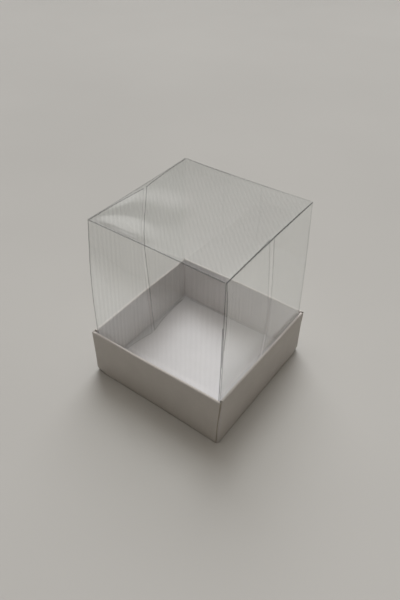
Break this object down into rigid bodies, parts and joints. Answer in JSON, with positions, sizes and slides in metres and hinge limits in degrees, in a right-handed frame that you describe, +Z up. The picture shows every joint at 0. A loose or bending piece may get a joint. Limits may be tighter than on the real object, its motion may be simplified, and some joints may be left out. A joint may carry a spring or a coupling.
{
  "type": "favour box with clear lid",
  "caption": "Square favour box: a shallow white card tray with rolled double walls, and a tall clear film lid that stands inside it and lifts off.",
  "frame": {"origin": "centre of the tray's underside, on the surface that the box stands on", "axes": "+Z up, out of the lid's top; front is -Y and right is +X, the two faces that the lid's film walls and the tray share"},
  "size_m": [0.084, 0.084, 0.1005],
  "materials": {
    "white_board": "matte",
    "clear_film": "gloss"
  },
  "bodies": {
    "tray": {"tray_floor": "white_board", "tray_front_outer_wall": "white_board", "tray_right_outer_wall": "white_board", "tray_rear_outer_wall": "white_board", "tray_left_outer_wall": "white_board", "tray_front_inner_wall": "white_board", "tray_right_inner_wall": "white_board", "tray_rear_inner_wall": "white_board", "tray_left_inner_wall": "white_board", "tray_front_left_corner_flap": "white_board", "tray_front_right_corner_flap": "white_board", "tray_rear_left_corner_flap": "white_board", "tray_rear_right_corner_flap": "white_board"},
    "lid": {"lid_top_panel": "clear_film", "lid_front_wall": "clear_film", "lid_right_wall": "clear_film", "lid_rear_wall": "clear_film", "lid_left_wall": "clear_film"},
    "front_left_flap": {"lid_front_left_flap": "clear_film"},
    "front_right_flap": {"lid_front_right_flap": "clear_film"},
    "rear_left_flap": {"lid_rear_left_flap": "clear_film"},
    "rear_right_flap": {"lid_rear_right_flap": "clear_film"}
  },
  "joints": [
    {"name": "lid_lift", "type": "slide", "parent": "tray", "child": "lid", "axis": [0, 0, 1], "range_m": [0, 0.06]},
    {"name": "front_left_flap_crease", "type": "hinge", "parent": "lid", "child": "front_left_flap", "pos_m": [-0.0391, -0.0394, 0], "axis": [0, 0, -1], "range_deg": [0, 88], "stiffness_Nm_per_rad": 0.002, "springref_deg": -20.05},
    {"name": "front_right_flap_crease", "type": "hinge", "parent": "lid", "child": "front_right_flap", "pos_m": [0.0391, -0.0394, 0], "axis": [0, 0, 1], "range_deg": [0, 88], "stiffness_Nm_per_rad": 0.002, "springref_deg": -20.05},
    {"name": "rear_left_flap_crease", "type": "hinge", "parent": "lid", "child": "rear_left_flap", "pos_m": [-0.0391, 0.0394, 0], "axis": [0, 0, 1], "range_deg": [0, 88], "stiffness_Nm_per_rad": 0.002, "springref_deg": -20.05},
    {"name": "rear_right_flap_crease", "type": "hinge", "parent": "lid", "child": "rear_right_flap", "pos_m": [0.0391, 0.0394, 0], "axis": [0, 0, -1], "range_deg": [0, 88], "stiffness_Nm_per_rad": 0.002, "springref_deg": -20.05}
  ]
}
